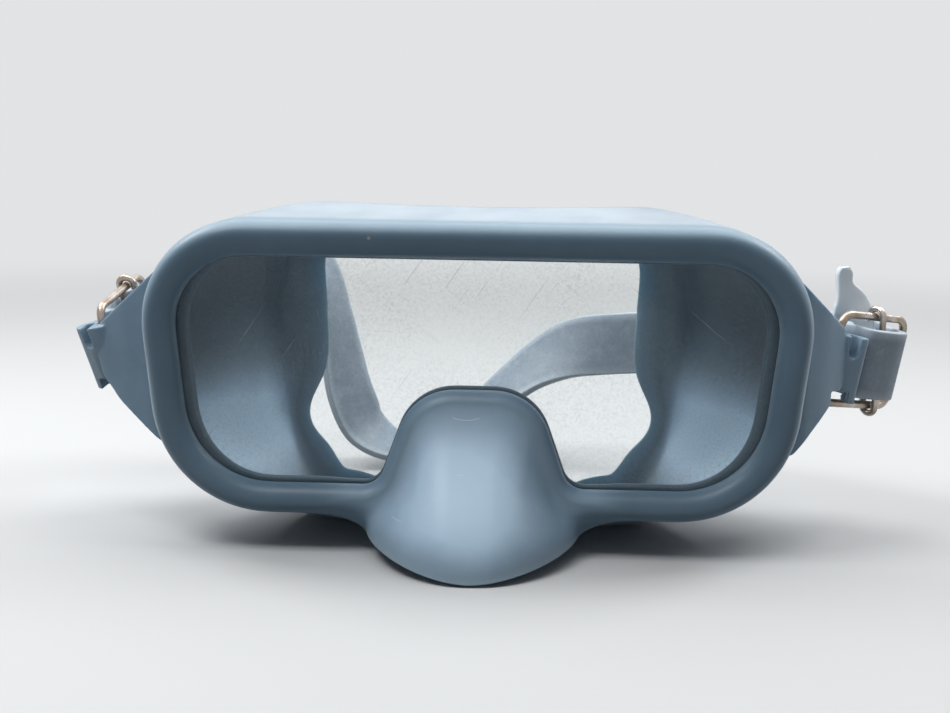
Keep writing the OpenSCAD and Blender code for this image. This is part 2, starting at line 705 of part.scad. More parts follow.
strap_edge = 0.5;
strap_section = [[-1, -1, 0, 1], [-1, -1, 1, 0], [1, -1, -1, 0], [1, -1, 0, 1],
                 [1, 1, 0, -1], [1, 1, -1, 0], [-1, 1, 1, 0], [-1, 1, 0, -1]];
function strap_ring(j) =
    let (
        ahead = unit(strap_middle[min(strap_n - 1, j + 1)] - strap_middle[max(0, j - 1)]),
        across = unit(strap_across[j] - ahead * (strap_across[j] * ahead)),
        face = cross(across, ahead)
    )
    [for (q = strap_section)
        strap_middle[j]
        + across * (q[0] * strap_wide[j] / 2 + q[2] * strap_edge)
        + face * (q[1] * strap_t / 2 + q[3] * strap_edge)];

// A run of rings, closed along and capped at both ends
module capped_run(rings) {
    n = len(rings);
    m = len(rings[0]);
    sides = [for (i = [0 : n - 2]) for (j = [0 : m - 1])
        let (a = i * m + j, b = i * m + (j + 1) % m, c = (i + 1) * m + (j + 1) % m, d = (i + 1) * m + j)
        for (f = [[a, b, c], [a, c, d]]) f];
    start_cap = [for (j = [1 : m - 2]) [0, j + 1, j]];
    end_cap = [for (j = [1 : m - 2]) [(n - 1) * m, (n - 1) * m + j, (n - 1) * m + j + 1]];
    polyhedron(points = [for (row = rings) for (q = row) q],
               faces = concat(sides, start_cap, end_cap), convexity = 10);
}

module head_strap() {
    color(strap_rubber) capped_run([for (j = [0 : strap_n - 1]) strap_ring(j)]);
}

mask_body();
lens();
right_buckle_frame();
right_buckle_bar();
left_buckle_frame();
left_buckle_bar();
head_strap();
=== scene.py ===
import math

import bmesh
import bpy
import numpy as np
from mathutils import Matrix, Vector


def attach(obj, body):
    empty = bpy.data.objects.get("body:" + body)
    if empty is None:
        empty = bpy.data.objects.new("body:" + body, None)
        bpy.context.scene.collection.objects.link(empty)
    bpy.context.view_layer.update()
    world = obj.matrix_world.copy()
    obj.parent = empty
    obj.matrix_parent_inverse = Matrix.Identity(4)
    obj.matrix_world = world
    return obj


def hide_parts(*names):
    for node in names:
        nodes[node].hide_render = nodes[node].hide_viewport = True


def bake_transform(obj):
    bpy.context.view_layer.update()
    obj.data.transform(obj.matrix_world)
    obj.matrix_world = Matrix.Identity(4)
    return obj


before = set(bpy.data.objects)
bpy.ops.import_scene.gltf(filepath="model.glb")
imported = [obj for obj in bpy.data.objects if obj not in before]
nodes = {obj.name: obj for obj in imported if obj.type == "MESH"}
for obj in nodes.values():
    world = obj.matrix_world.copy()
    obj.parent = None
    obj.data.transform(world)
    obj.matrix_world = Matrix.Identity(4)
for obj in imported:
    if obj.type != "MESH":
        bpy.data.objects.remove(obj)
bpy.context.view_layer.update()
MM = 0.001

# The part's source has these same sizes in millimetres, and these turns in degrees
OPENING_W, OPENING_TAPER, OPENING_TOP, OPENING_BOTTOM = 157.6, 12.4, 76.3, 17.2
UPPER_R, LOWER_R = 18.0, 22.0
NOTCH_FOOT_W, NOTCH_TOP_W, NOTCH_TOP = 49.2, 31.0, 42.7
NOTCH_FOOT_R, NOTCH_SHOULDER_R = 6.0, 15.0
BEAD_W, BEAD_W_TOP_GAIN, BEAD_FRONT, RIM_BACK = 8.5, 0.6, 5.4, 6.4
REAR_LIP_IN, REAR_LIP_SIDE_GAIN = 0.8, 1.8
LENS_T, LENS_BITE, LENS_GAP = 2.6, 2.7, 0.15
SKIRT_WALL, SKIRT_W, SKIRT_TOP = 2.4, 124.0, 87.0
SKIRT_DEPTH_MID, SKIRT_DEPTH_GAIN = 25.0, 27.0
FLANGE_W, FLANGE_SIDE_GAIN, FLANGE_CHEEK_CUT, CHEEK_Z, FLANGE_TIP_T = 12.5, 4.0, 7.5, 31.0, 1.2
POCKET_HALF_W, POCKET_REACH, POCKET_SIDE_H, POCKET_FRONT_H, POCKET_BULGE = 27.5, 30.0, 4.8, 0.6, 0.28
# Pairs are for the right and the left side, whose rubber ears are bent differently
RIGHT, LEFT = 0, 1
EAR_X, EAR_Y, EAR_Z = (95.0, 98.0), (22.0, 17.6), 47.2
EAR_LEAN, EAR_TILT, EAR_BEND = np.radians((10.0, 15.0)), np.radians((0.0, 12.0)), np.radians((0.0, 20.0))
LUG_H, LUG_R, LIP_REACH, EAR_WEB = 18.2, 4.2, 7.9, 3.2
EAR_ROOT_TOP, EAR_ROOT_BOTTOM = 72.0, 26.0
WEB_TOP_REACH, WEB_TOP_RISE = (3.8, 4.9), (8.9, 6.4)
NOTCH_W, NOTCH_AT, NOTCH_DEPTH = 2.6, 4.0, 5.9
FRAME_WIRE_D, FRAME_LEN, FRAME_H, FRAME_CORNER_R = 2.2, 25.2, 24.6, 3.2
BAR_WIRE_D, BAR_AT, CURL_GAP = 1.8, (15.8, 17.2), 0.3
SWING, BUCKLE_LIFT = np.radians((36.0, 105.0)), (1.9, 0.4)
STRAP_W, STRAP_T, TONGUE_W = 19.0, 2.4, 4.8


def arr(*v):
    return np.array(v, float)


def mix(a, b, t):
    return a + (b - a) * t


def ease(t):
    t = min(1.0, max(0.0, t))
    return t * t * (3 - 2 * t)


def unit(v):
    return v / np.linalg.norm(v)


def bezier(a, b, c, d, t):
    return a * (1 - t) ** 3 + b * 3 * t * (1 - t) ** 2 + c * 3 * t * t * (1 - t) + d * t ** 3


def make_object(name, verts, faces, smooth=True, scale=MM):
    """A mesh object from millimetres."""
    mesh = bpy.data.meshes.new(name)
    mesh.from_pydata([tuple(float(c) * scale for c in v) for v in verts], [], faces)
    solid = bmesh.new()
    solid.from_mesh(mesh)
    bmesh.ops.recalc_face_normals(solid, faces=solid.faces)
    solid.to_mesh(mesh)
    solid.free()
    if smooth:
        mesh.shade_smooth()
    obj = bpy.data.objects.new(name, mesh)
    bpy.context.scene.collection.objects.link(obj)
    return obj


def add_modifier(obj, kind, **settings):
    modifier = obj.modifiers.new(kind.lower(), kind)
    for key, value in settings.items():
        setattr(modifier, key, value)


def apply_modifiers(obj):
    """Replaces the mesh by what its modifiers make of it."""
    graph = bpy.context.evaluated_depsgraph_get()
    made = obj.evaluated_get(graph)
    mesh = bpy.data.meshes.new_from_object(made, preserve_all_data_layers=True, depsgraph=graph)
    obj.modifiers.clear()
    old = obj.data
    obj.data = mesh
    bpy.data.meshes.remove(old)


# Outline of the lens opening, as x, z and the direction into the rubber
def left_of(d):
    return arr(-d[1], d[0])


def corner_arc(a, b, c, r, n):
    """The corner at b, between a and c, rounded by r in n steps."""
    way_in, way_out = unit(b - a), unit(c - b)
    turn = math.atan2(way_out[1], way_out[0]) - math.atan2(way_in[1], way_in[0])
    turn = (turn + math.pi) % (2 * math.pi) - math.pi
    start = b - way_in * r * math.tan(abs(turn) / 2)
    side = 1 if turn < 0 else -1
    middle = start - left_of(way_in) * r * side
    first = math.atan2(left_of(way_in)[1], left_of(way_in)[0])
    rows = []
    for i in range(n + 1):
        out = arr(math.cos(first + turn * i / n), math.sin(first + turn * i / n))
        rows.append(np.concatenate([middle + out * r * side, out]))
    return rows


def straight_run(a, b, n):
    out = left_of(unit(b - a))
    return [np.concatenate([mix(a, b, i / n), out]) for i in range(1, n)]


# Steps round each corner of the opening, and along the straights between them
UPPER_STEPS, LOWER_STEPS, FOOT_STEPS, SHOULDER_STEPS = 12, 12, 8, 10
TOP_STEPS, SIDE_STEPS, BOTTOM_STEPS, NOTCH_STEPS = 13, 8, 10, 5


def lens_outline():
    """The right half of the outline, the notch's foot, and the place where the pocket's share begins."""
    half_top = OPENING_W / 2
    upper, lower = arr(half_top, OPENING_TOP), arr(half_top - OPENING_TAPER / 2, OPENING_BOTTOM)
    foot, shoulder = arr(NOTCH_FOOT_W / 2, OPENING_BOTTOM), arr(NOTCH_TOP_W / 2, NOTCH_TOP)
    top, notch = arr(0, OPENING_TOP), arr(0, NOTCH_TOP)
    arc_upper = corner_arc(top, upper, lower, UPPER_R, UPPER_STEPS)
    arc_lower = corner_arc(upper, lower, foot, LOWER_R, LOWER_STEPS)
    arc_foot = corner_arc(lower, foot, shoulder, NOTCH_FOOT_R, FOOT_STEPS)
    arc_shoulder = corner_arc(foot, shoulder, notch, NOTCH_SHOULDER_R, SHOULDER_STEPS)
    half = [arr(0, OPENING_TOP, 0, 1)]
    half += straight_run(top, arc_upper[0][:2], TOP_STEPS) + arc_upper
    half += straight_run(arc_upper[-1][:2], arc_lower[0][:2], SIDE_STEPS) + arc_lower
    half += straight_run(arc_lower[-1][:2], arc_foot[0][:2], BOTTOM_STEPS)
    pocket_first = len(half) - 2
    half += arc_foot
    half += straight_run(arc_foot[-1][:2], arc_shoulder[0][:2], NOTCH_STEPS) + arc_shoulder
    half += [arr(0, NOTCH_TOP, 0, -1)]
    return half, arc_foot[0][0], pocket_first


HALF, FOOT_X, POCKET_FIRST = lens_outline()
HALF_N = len(HALF)
STATIONS = HALF + [p * arr(-1, 1, -1, 1) for p in HALF[-2:0:-1]]
STATIONS_N = len(STATIONS)
# Distance run along the notch, at the depth of the bead's crest
BEAD_LINE = [p[:2] + p[2:] * BEAD_W / 2 for p in HALF]
RUN = [0.0] * HALF_N
for i in range(POCKET_FIRST + 1, HALF_N):
    RUN[i] = RUN[i - 1] + float(np.linalg.norm(BEAD_LINE[i] - BEAD_LINE[i - 1]))
# The width beside the notch's foot over which the rim turns into the pocket
POCKET_BLEND = 12


def pocket_share(p):
    """How far a station has left the rim for the nose pocket: 0 on the rim, 1 on the pocket."""
    return 0.0 if p[1] > NOTCH_TOP + 5 else ease((FOOT_X + POCKET_BLEND - abs(p[0])) / POCKET_BLEND)


def pocket_angle(i):
    """Where a station's lower end lies round the pocket: 0 beside the rim, a right angle at the front."""
    j = i if i < HALF_N else STATIONS_N - i
    return math.pi / 2 * RUN[j] / RUN[HALF_N - 1]


def lift(p, y):
    return arr(p[0], y, p[1])


def outward(p):
    return arr(p[2], 0, p[3])


def side_of(p):
    return -1 if p[0] < 0 else 1


def bead_width(p):
    return BEAD_W + BEAD_W_TOP_GAIN * p[3]


RIM_HALF = OPENING_W / 2 + BEAD_W
RIM_LOW = OPENING_BOTTOM - BEAD_W + BEAD_W_TOP_GAIN
RIM_HIGH = OPENING_TOP + BEAD_W + BEAD_W_TOP_GAIN
SKIRT_HALF, SKIRT_LOW, POCKET_REAR_HALF = SKIRT_W / 2, 0.4, 19
BEAD_RINGS, WALL_RINGS = 6, 7


def face_depth(x):
    return SKIRT_DEPTH_MID + SKIRT_DEPTH_GAIN * min(1, abs(x) / SKIRT_HALF) ** 1.6


def station_profile(i):
    """One section of the body, in millimetres: its outer points, from the bead's crest to the skirt's rear
    edge, and the sealing flange. Round the pocket, the bead's curve runs down to the pocket's lower edge."""
    p, w, a = STATIONS[i], pocket_share(STATIONS[i]), pocket_angle(i)
    out, width = outward(p), bead_width(p)
    edge = lift(p, 0) + out * width
    pocket_edge = arr(side_of(p) * POCKET_HALF_W * math.cos(a), -POCKET_REACH * math.sin(a) ** 1.3,
                      POCKET_FRONT_H + (POCKET_SIDE_H - POCKET_FRONT_H) * max(0.0, math.cos(a)) ** 1.3)
    part = mix(edge, pocket_edge, w)
    crest = lift(p, -BEAD_FRONT * (1 - 0.1 * w)) + out * width * mix(0.56, 0.42, w)
    length = np.linalg.norm(part - crest)
    rim_1, rim_2 = crest + out * width * 0.30, part + arr(0, -BEAD_FRONT * 0.55, 0)
    pocket_1 = crest + unit(out * 0.35 + arr(0, -0.25, -0.85)) * length * 0.3
    pocket_2 = part + arr(0, -0.1 * math.sin(a), 1) * length * POCKET_BULGE
    bead = [bezier(crest, mix(rim_1, pocket_1, w), mix(rim_2, pocket_2, w), part, k / BEAD_RINGS)
            for k in range(BEAD_RINGS + 1)]
    x_rim = (p[0] + p[2] * width * (1 - w)) * SKIRT_HALF / RIM_HALF
    z_rim = mix(SKIRT_LOW, SKIRT_TOP, (edge[2] - RIM_LOW) / (RIM_HIGH - RIM_LOW))
    x_pocket = side_of(p) * POCKET_REAR_HALF * (1 - a / (math.pi / 2))
    x = mix(x_rim, x_pocket, w)
    rear = arr(x, face_depth(x), mix(z_rim, SKIRT_LOW, w))
    inward = unit(mix(-out, arr(0, 0, 1), w) + arr(0, 0, 0.001))
    depth = rear[1] - part[1]
    first = part + arr(0, depth * 0.38, -4.5 * w)
    last = rear - inward * 3 * (1 - w) + arr(0, -depth * 0.30, -2.5 * max(0, -p[3]) * (1 - w) - w)
    wall = [bezier(part, first, last, rear, k / (WALL_RINGS + 0.35)) for k in range(1, WALL_RINGS + 1)]
    wall = [arr(q[0], q[1], max(0, q[2])) for q in wall]
    cheek = math.exp(-((p[1] - CHEEK_Z) / 9) ** 2)
    beside_nose = max(0, -p[3]) * (1 - ease((abs(p[0]) - FOOT_X) / 20))
    reach = mix(FLANGE_W + FLANGE_SIDE_GAIN * abs(p[2]) - FLANGE_CHEEK_CUT * cheek - 2 * beside_nose, 6, w)
    tip = rear + inward * reach + arr(0, -1, 0)
    half = rear + inward * reach * 0.5 + arr(0, 1.3, 0)
    flange = [rear + arr(0, 0.6, 0), half, tip, tip + arr(0, -FLANGE_TIP_T, 0),
              half + arr(0, -mix(FLANGE_TIP_T, SKIRT_WALL, 0.6), 0)]
    outer = bead + wall + [rear + arr(0, 0.6, 0)]
    return dict(p=p, w=w, out=out, width=width, outer=outer, flange=flange)


def rear_lip(p):
    w = pocket_share(p)
    return REAR_LIP_IN * (1 - 0.6 * w) + REAR_LIP_SIDE_GAIN * p[2] ** 2 * (1 - w)


# The ridge along the parting line
RIDGE_HALF_W, RIDGE_H = 0.45, 0.32
# The front lip's section: outward and back from the edge of the opening
FRONT_LIP = ((0, 0), (0.02, -0.9), (0.12, -1.9), (0.9, -3.7), (2.6, -4.9))
# What each point of a section belongs to, in order round it
KINDS = (["lip"] * len(FRONT_LIP) + ["bead"] * BEAD_RINGS + ["part"] * 3 + ["wall"] * WALL_RINGS
         + ["flange"] * 5 + ["inner"] * (BEAD_RINGS + WALL_RINGS) + ["groove"] * 6)
KINDS_N = len(KINDS)
FLANGE_TIP = [KINDS.index("flange") + k for k in (2, 3)]
# The groove's edges and the parting line's ridge
CREASED = [0, KINDS_N - 3, KINDS_N - 2, KINDS_N - 1, KINDS.index("part") + 1]


def body_rows():
    """The body's sections, with a fine raised parting line along the outer edge."""
    data = [station_profile(i) for i in range(STATIONS_N)]
    groove_rear, groove_deep = LENS_T + 2 * LENS_GAP, LENS_BITE + LENS_GAP
    rear_at = BEAD_RINGS + WALL_RINGS + 1
    rows = []
    for i, d in enumerate(data):
        p, out, width, outer = d["p"], d["out"], d["width"], d["outer"]
        before, after = data[i - 1]["outer"], data[(i + 1) % STATIONS_N]["outer"]
        inner = {}
        w = ease(d["w"] * 1.4 - 0.4)
        for k in range(1, rear_at):
            normal = unit(np.cross(after[k] - before[k], outer[k + 1] - outer[k - 1]))
            offset_in = outer[k] - normal * SKIRT_WALL
            behind = lift(p, RIM_BACK + 0.1 * k) + out * mix(4.2, width - SKIRT_WALL - 0.6, min(1, k / 7))
            pushed = arr(offset_in[0], max(offset_in[1], RIM_BACK + 0.12 * k), offset_in[2])
            inner[k] = mix(behind if k <= BEAD_RINGS + 1 else pushed, offset_in, w)
        previous, line, following = outer[BEAD_RINGS - 1:BEAD_RINGS + 2]
        ridge = unit(2 * line - previous - following)
        near = RIDGE_HALF_W / max(1.0, float(np.linalg.norm(line - previous)))
        far = RIDGE_HALF_W / max(1.0, float(np.linalg.norm(following - line)))
        edge = [mix(line, previous, near), line + ridge * RIDGE_H, mix(line, following, far)]
        front = [lift(p, y) + out * x for x, y in FRONT_LIP]
        lip = rear_lip(p)
        rear = [lift(p, y) + out * x for x, y in (
            (3.6, RIM_BACK), (1.0, RIM_BACK - 0.2), (-lip, RIM_BACK - 1.8), (-lip, groove_rear),
            (groove_deep, groove_rear), (groove_deep, 0))]
        row = front + outer[:BEAD_RINGS] + edge + outer[BEAD_RINGS + 1:rear_at] + d["flange"]
        row += [inner[k] for k in range(rear_at - 1, 0, -1)] + rear
        rows.append(row)
    return rows


def closed_grid(rows):
    n, m = len(rows), len(rows[0])
    faces = [(i * m + j, i * m + (j + 1) % m, ((i + 1) % n) * m + (j + 1) % m, ((i + 1) % n) * m + j)
             for i in range(n) for j in range(m)]
    return [q for row in rows for q in row], faces


def point_values(obj, name, values):
    layer = obj.data.attributes.new(name, "FLOAT", "POINT")
    layer.data.foreach_set("value", np.array(values, np.float32))


def crease_lines(obj, m, columns, value):
    """Creases the edges that run along the given profile points."""
    layer = obj.data.attributes.new("crease_edge", "FLOAT", "EDGE")
    wanted = set(columns)
    values = [value if (e.vertices[0] % m in wanted and e.vertices[0] % m == e.vertices[1] % m) else 0.0
              for e in obj.data.edges]
    layer.data.foreach_set("value", np.array(values, np.float32))


def looks_at(kind, j, q, w, up):
    """The rubber's values at one point, from kind and place j on the profile, point q, the pocket's share w,
    and how far the outline faces up there: its thinness, with a painted highlight on the bead's outer side,
    the pocket's crest, the parting line and the flange's tip; painted shade inside, in the groove and next to
    the lens; painted light on the lower inner walls and the pocket's middle; and a painted highlight on the
    skirt's top."""
    # Painted highlight: the bead is paler toward its outer side, and the pocket is paler along its crest
    painted_highlight = (1 - w) * 0.95 * ease((j - 5.5) / 4.5) if kind == "bead" else 0.0
    # Painted shade: the lip and bead are darker toward the lens, and the pocket is darker below its crest
    shade = (1 - w) * 0.80 * ease((9.5 - j) / 4) if kind in ("lip", "bead") else 0.0
    painted_highlight += w * {3: 0.3, 4: 0.6, 5: 0.6, 6: 0.2}.get(j, 0.0)
    shade += w * {7: 0.35, 8: 0.15}.get(j, 0.0)
    # The parting line, the flange's tip and the bead's outer side get a painted highlight; the same value
    # sets how much light passes through
    thin_and_highlight = 1.6 if j in FLANGE_TIP else {"part": 1.0, "flange": 0.6}.get(kind, painted_highlight)
    # Painted shade on the inner walls, the flange and the lens groove
    inside = {"inner": 1.0, "flange": 1.1, "groove": 0.8}.get(kind, shade)
    painted_light = 0.0
    if kind == "inner":
        # Painted light: a pool of light on the lower inner walls
        painted_light = math.exp(-((q[2] - 24) / 13) ** 2) * ease((abs(q[0]) - 36) / 22)
    elif kind in ("bead", "part"):
        # Painted highlight: a broad pale patch on the pocket's middle
        painted_light = w * math.exp(-((q[0] + 3) / 20) ** 2 - ((j - 8.0) / 2.6) ** 2)
    # Painted highlight on the skirt's upward-facing top
    top_highlight = 0.45 * ease(up * 2 - 1) if kind == "wall" else 0.0
    return thin_and_highlight, inside, painted_light, top_highlight


def make_body():
    rows = body_rows()
    verts, faces = closed_grid(rows)
    obj = make_object("mask_moulding", verts, faces)
    crease_lines(obj, KINDS_N, CREASED, 0.75)
    looks = [looks_at(kind, j, rows[i][j], pocket_share(p), p[3])
             for i, p in enumerate(STATIONS) for j, kind in enumerate(KINDS)]
    for name, values in zip(("thin_and_highlight", "inside", "painted_light", "top_highlight"), zip(*looks)):
        point_values(obj, name, values)
    levels = 2
    add_modifier(obj, "SUBSURF", levels=levels, render_levels=levels)
    apply_modifiers(obj)
    obj.data.shade_smooth()
    return obj


# Ears: web, lug, tunnel and slots, cut from solids and rounded like a moulding
def prism(name, outline, low, high):
    """A solid with this outline in x and y, from low to high in z."""
    n = len(outline)
    verts = [(x, y, z) for z in (low, high) for x, y in outline]
    faces = [tuple(range(n))[::-1], tuple(range(n, 2 * n))]
    faces += [(i, (i + 1) % n, n + (i + 1) % n, n + i) for i in range(n)]
    return make_object(name, verts, faces, smooth=False, scale=1.0)


def circle(r, n=48):
    turns = [2 * math.pi * i / n for i in range(n)]
    return [(r * math.cos(a), r * math.sin(a)) for a in turns]


def boolean(obj, other, operation):
    add_modifier(obj, "BOOLEAN", object=other, operation=operation, solver="MANIFOLD")
    apply_modifiers(obj)
    bpy.data.objects.remove(other)


def rounded(points, r, steps=5):
    """The outline with its corners rounded by up to r."""
    made, n = [], len(points)
    for i in range(n):
        a, b, c = (arr(*points[i - 1]), arr(*points[i]), arr(*points[(i + 1) % n]))
        cut = min(r, np.linalg.norm(b - a) * 0.45, np.linalg.norm(c - b) * 0.45)
        s, e = b + unit(a - b) * cut, b + unit(c - b) * cut
        for k in range(steps + 1):
            t = k / steps
            q = s * (1 - t) ** 2 + b * 2 * t * (1 - t) + e * t * t
            made.append((q[0], q[1]))
    return made


def ear_matrix(side, turn):
    """From the tunnel's own axes, turned about it, to the mask's."""
    return (Matrix.Translation((EAR_X[side], EAR_Y[side], EAR_Z)) @ Matrix.Rotation(EAR_LEAN[side], 4, "Y")
            @ Matrix.Rotation(EAR_TILT[side], 4, "X") @ Matrix.Rotation(turn, 4, "Z"))


def lug_spot(side, u, v):
    """A place beside the tunnel, seen from above, turned with the bent rubber."""
    c, s = math.cos(EAR_BEND[side]), math.sin(EAR_BEND[side])
    return arr(EAR_X[side] + u * c - v * s, EAR_Y[side] + u * s + v * c)


# Where the web leaves the rim, seen from above, and how far it is sunk into it
EAR_ROOT, EAR_SUNK = arr(RIM_HALF - OPENING_TAPER / 4, 4.2), 6
# The web's lower edge near the lug, seen from the front, counted from the tunnel's middle
WEB_LOW = ((1.6, -5.6), (-0.8, -8), (-3.6, -11.2))
# Room round the wire, before the smoothing of the mesh narrows the tunnel
TUNNEL_ROOM = 0.28
TUNNEL_R = FRAME_WIRE_D / 2 + TUNNEL_ROOM
# Below, the wall is cut back from this height, where the wire bends away
LOWER_CUT = -(FRAME_H / 2 - FRAME_CORNER_R - BUCKLE_LIFT[RIGHT] - 1.4)
# The radius of the room for the wire's bend, and how far it and the slot reach toward the web
BEND_ROOM, WEB_CORNER, FRONT_CORNER = FRAME_CORNER_R + FRAME_WIRE_D / 2 + 0.5, -1.9, -0.7
# How far a cut runs on past the lug
PAST = 30
# The lip seen from above, counted from the tunnel's middle
LIP_PLAN = [(0, -LUG_R), (LIP_REACH - 4.6, -LUG_R), (LIP_REACH - 0.7, -LUG_R + 1.6),
            (LIP_REACH, -LUG_R + 2.9), (LIP_REACH - 0.7, -LUG_R + 4.6), (2, LUG_R - 1.2)]


def web_plan(side):
    """Seen from above: the web leaves the rim's side and sweeps back to the front of the lug."""
    corner = lug_spot(side, LUG_R * 0.55, -LUG_R - 0.2)
    knee = mix(EAR_ROOT, corner, 0.5) + arr(0.5, -0.6)
    behind = left_of(unit(corner - EAR_ROOT)) * EAR_WEB
    return [EAR_ROOT + arr(-EAR_SUNK, -0.5), EAR_ROOT, knee, corner,
            lug_spot(side, LUG_R * 0.55, -LUG_R * 0.5), lug_spot(side, 0, -LUG_R * 0.2), knee + behind,
            EAR_ROOT + arr(-EAR_WEB * 0.5, EAR_WEB * 1.2), EAR_ROOT + arr(-EAR_SUNK, EAR_WEB * 0.5)]


def web_front(side):
    """Seen from the front: the web's upper and lower edges."""
    x, root_x = EAR_X[side], EAR_ROOT[0]
    return [(root_x - EAR_SUNK, EAR_ROOT_TOP + 1.5), (root_x - 2, EAR_ROOT_TOP),
            (x + WEB_TOP_REACH[side], EAR_Z + WEB_TOP_RISE[side]),
            *((x + reach, EAR_Z + rise) for reach, rise in WEB_LOW),
            (root_x - 2, EAR_ROOT_BOTTOM), (root_x - EAR_SUNK, EAR_ROOT_BOTTOM + 0.5)]


def bend_plan():
    """The round room for the wire's bend, kept off the web and the front wall."""
    arc = [q for q in circle(BEND_ROOM) if q[0] >= WEB_CORNER and q[1] >= -TUNNEL_R]
    arc += [(WEB_CORNER, -TUNNEL_R), (WEB_CORNER, math.sqrt(BEND_ROOM ** 2 - WEB_CORNER ** 2)),
            (math.sqrt(BEND_ROOM ** 2 - TUNNEL_R ** 2), -TUNNEL_R)]
    return sorted(arc, key=lambda q: math.atan2(q[1] - 1, q[0] - 1))


def notch_front():
    """The upper notch, round at its foot and open above."""
    half_w, foot = NOTCH_W / 2, LUG_H / 2 - NOTCH_DEPTH + NOTCH_W / 2
    turns = [math.pi * k / 10 for k in range(1, 10)]
    return [(NOTCH_AT - half_w, PAST), (NOTCH_AT - half_w, foot),
            *((NOTCH_AT - half_w * math.cos(a), foot - half_w * math.sin(a)) for a in turns),
            (NOTCH_AT + half_w, foot), (NOTCH_AT + half_w, PAST)]


def make_ear(name, side):
    """One ear: a web from the rim, a lug with a lip, the wire's tunnel and a notch beside it at each end."""
    def upright(obj):
        obj.data.transform(Matrix.Rotation(math.pi / 2, 4, "X"))
        return obj

    def placed(obj):
        obj.data.transform(ear_matrix(side, EAR_BEND[side]))
        return obj

    web = prism(name, rounded(web_plan(side), 3.0), 0, 100)
    boolean(web, upright(prism("trim", rounded(web_front(side), 1.4), -50, 50)), "INTERSECT")
    boolean(web, placed(prism("lug", circle(LUG_R), -LUG_H / 2, LUG_H / 2)), "UNION")
    boolean(web, placed(prism("lip", rounded(LIP_PLAN, 0.9), 0.05 - LUG_H / 2, LUG_H / 2 - 0.05)), "UNION")
    boolean(web, placed(prism("tunnel", circle(TUNNEL_R), -PAST, PAST)), "DIFFERENCE")
    boolean(web, placed(prism("bend", bend_plan(), -PAST, LOWER_CUT)), "DIFFERENCE")
    far = NOTCH_AT + NOTCH_W / 2
    slot = [(FRONT_CORNER, -9), (far, -9), (far, 0), (FRONT_CORNER, 0)]
    boolean(web, placed(prism("slot", slot, -PAST, LOWER_CUT)), "DIFFERENCE")
    boolean(web, placed(upright(prism("notch", notch_front(), 0, 9))), "DIFFERENCE")
    add_modifier(web, "REMESH", mode="VOXEL", voxel_size=0.3, use_smooth_shade=True)
    add_modifier(web, "SMOOTH", factor=0.5, iterations=7)
    apply_modifiers(web)
    web.data.transform(Matrix.Diagonal((-MM if side == LEFT else MM, MM, MM, 1)))
    if side == LEFT:
        web.data.flip_normals()
    web.data.shade_smooth()
    places = np.zeros(len(web.data.vertices) * 3, np.float32)
    web.data.vertices.foreach_get("co", places)
    from_middle = np.abs(places.reshape(-1, 3)[:, 0]) / MM
    # Painted highlight, paler toward the ear's outer end; the same value lets more light through there
    point_values(web, "thin_and_highlight", 0.2 + np.clip((from_middle - EAR_X[side]) / 8, 0, 1) * 0.6)
    return web


# Head strap
def place_in_buckle(v, across, width, side):
    """A step of the strap's route, from its place in the buckle: along the rails, out of them, and up."""
    def turned(w):
        return arr(*(ear_matrix(side, SWING[side]).to_3x3() @ Vector(w)))

    mirror = arr(-1 if side == LEFT else 1, 1, 1)
    hinge = arr(EAR_X[side], EAR_Y[side], EAR_Z)
    lifted = (v[0], v[1], v[2] + BUCKLE_LIFT[side])
    return turned(lifted) * mirror + hinge * mirror, turned(across) * mirror, width


# The strap's route: steps of a place, the direction across the band there, and its width. In each buckle the
# band comes forward beside the ear, passes in front of the crossbar and goes back inside the outer bar.
UP = (0, 0, 1)
CURL_R = FRAME_WIRE_D / 2 + CURL_GAP + BAR_WIRE_D / 2
# Room between the band and the lug, the crossbar's curls, and the outer bar of each side
LUG_ROOM, CURL_ROOM, OUTER_ROOM = 1.3, 0.7, (0.55, 0.35)
PASS_IN = LUG_R + STRAP_T / 2 + LUG_ROOM
PASS_OVER = -(CURL_R + BAR_WIRE_D / 2 + STRAP_T / 2 + CURL_ROOM)
PASS_OUT = [FRAME_LEN - FRAME_WIRE_D / 2 - STRAP_T / 2 - room for room in OUTER_ROOM]


def threading(side):
    """The band's way through a buckle, with a squarer turn on the left, where the crossbar slides further."""
    bar, out = BAR_AT[side], PASS_OUT[side]
    turn = (((bar + 2.4, PASS_OVER + 0.2), (out - 1.7, PASS_OVER + 1.2), (out - 0.3, -1.3)),
            ((out - 2.5, PASS_OVER), (out - 0.6, PASS_OVER + 0.9), (out, -1.6)))[side]
    steps = ((PASS_IN, 4.0), (PASS_IN, 1.0), (PASS_IN + 0.5, -2.6), (PASS_IN + 2.2, PASS_OVER + 0.7),
             (bar - 1, PASS_OVER), *turn, (out, 3.5))
    return [place_in_buckle((u, v, 0), UP, STRAP_W, side) for u, v in steps]


def placed_steps(steps, origin):
    return [(arr(*q) + arr(*origin), arr(*across), width) for q, across, width in steps]


